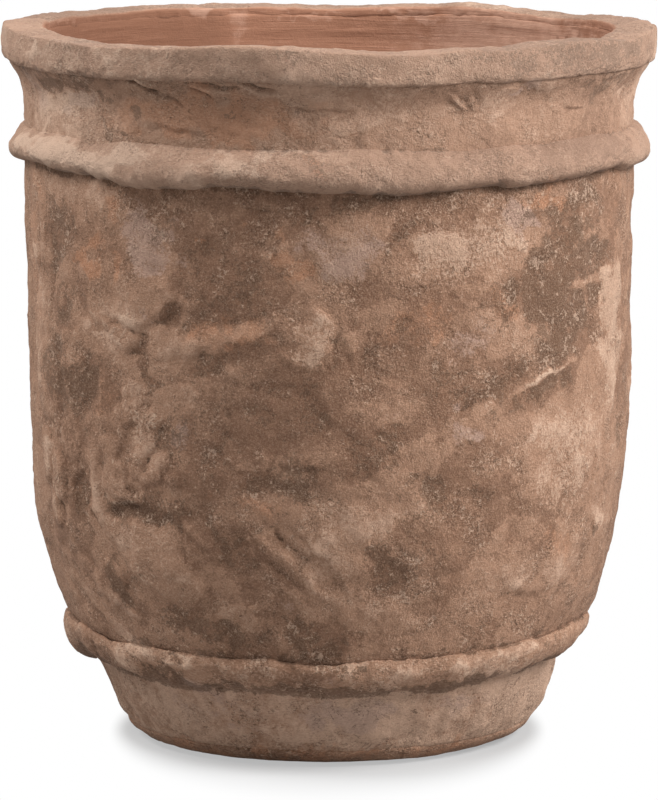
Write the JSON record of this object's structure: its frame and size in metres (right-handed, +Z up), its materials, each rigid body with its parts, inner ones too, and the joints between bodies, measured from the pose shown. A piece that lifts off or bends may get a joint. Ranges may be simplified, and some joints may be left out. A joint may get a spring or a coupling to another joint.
{
  "type": "planter",
  "caption": "Round hand-pressed terracotta planter with a heavy flat rim, a raised band under the neck, a band above the tapered foot and a drain hole.",
  "frame": {"origin": "centre of the flat underside that the planter stands on", "axes": "+Z up along the planter's turning axis; -Y towards the side seen in the reference view, +X to its right"},
  "size_m": [0.5996, 0.6003, 0.6579],
  "materials": {
    "floor_slab": "unglazed terracotta, warm tan and worn smooth at the heel",
    "floor_coil": "unglazed orange terracotta, wiped smooth by hand",
    "foot_wall": "weathered unglazed terracotta, matt, with dark stains and a grey-lilac bloom",
    "lower_band": "weathered unglazed terracotta, matt, dirt in the creases above and below",
    "barrel_wall": "weathered unglazed terracotta outside, hand-pressed and stained; bare orange clay wiped in rings inside",
    "upper_band": "weathered unglazed terracotta, paler on its crown, dark in the crease below",
    "neck_wall": "weathered unglazed terracotta outside, bare orange clay wiped in rings inside",
    "rim": "unglazed sandy terracotta, dry and worn along its edges"
  },
  "bodies": {
    "root": {"floor_slab": "floor_slab", "floor_coil": "floor_coil", "foot_wall": "foot_wall", "lower_band": "lower_band", "barrel_wall": "barrel_wall", "upper_band": "upper_band", "neck_wall": "neck_wall", "rim": "rim"}
  },
  "joints": []
}
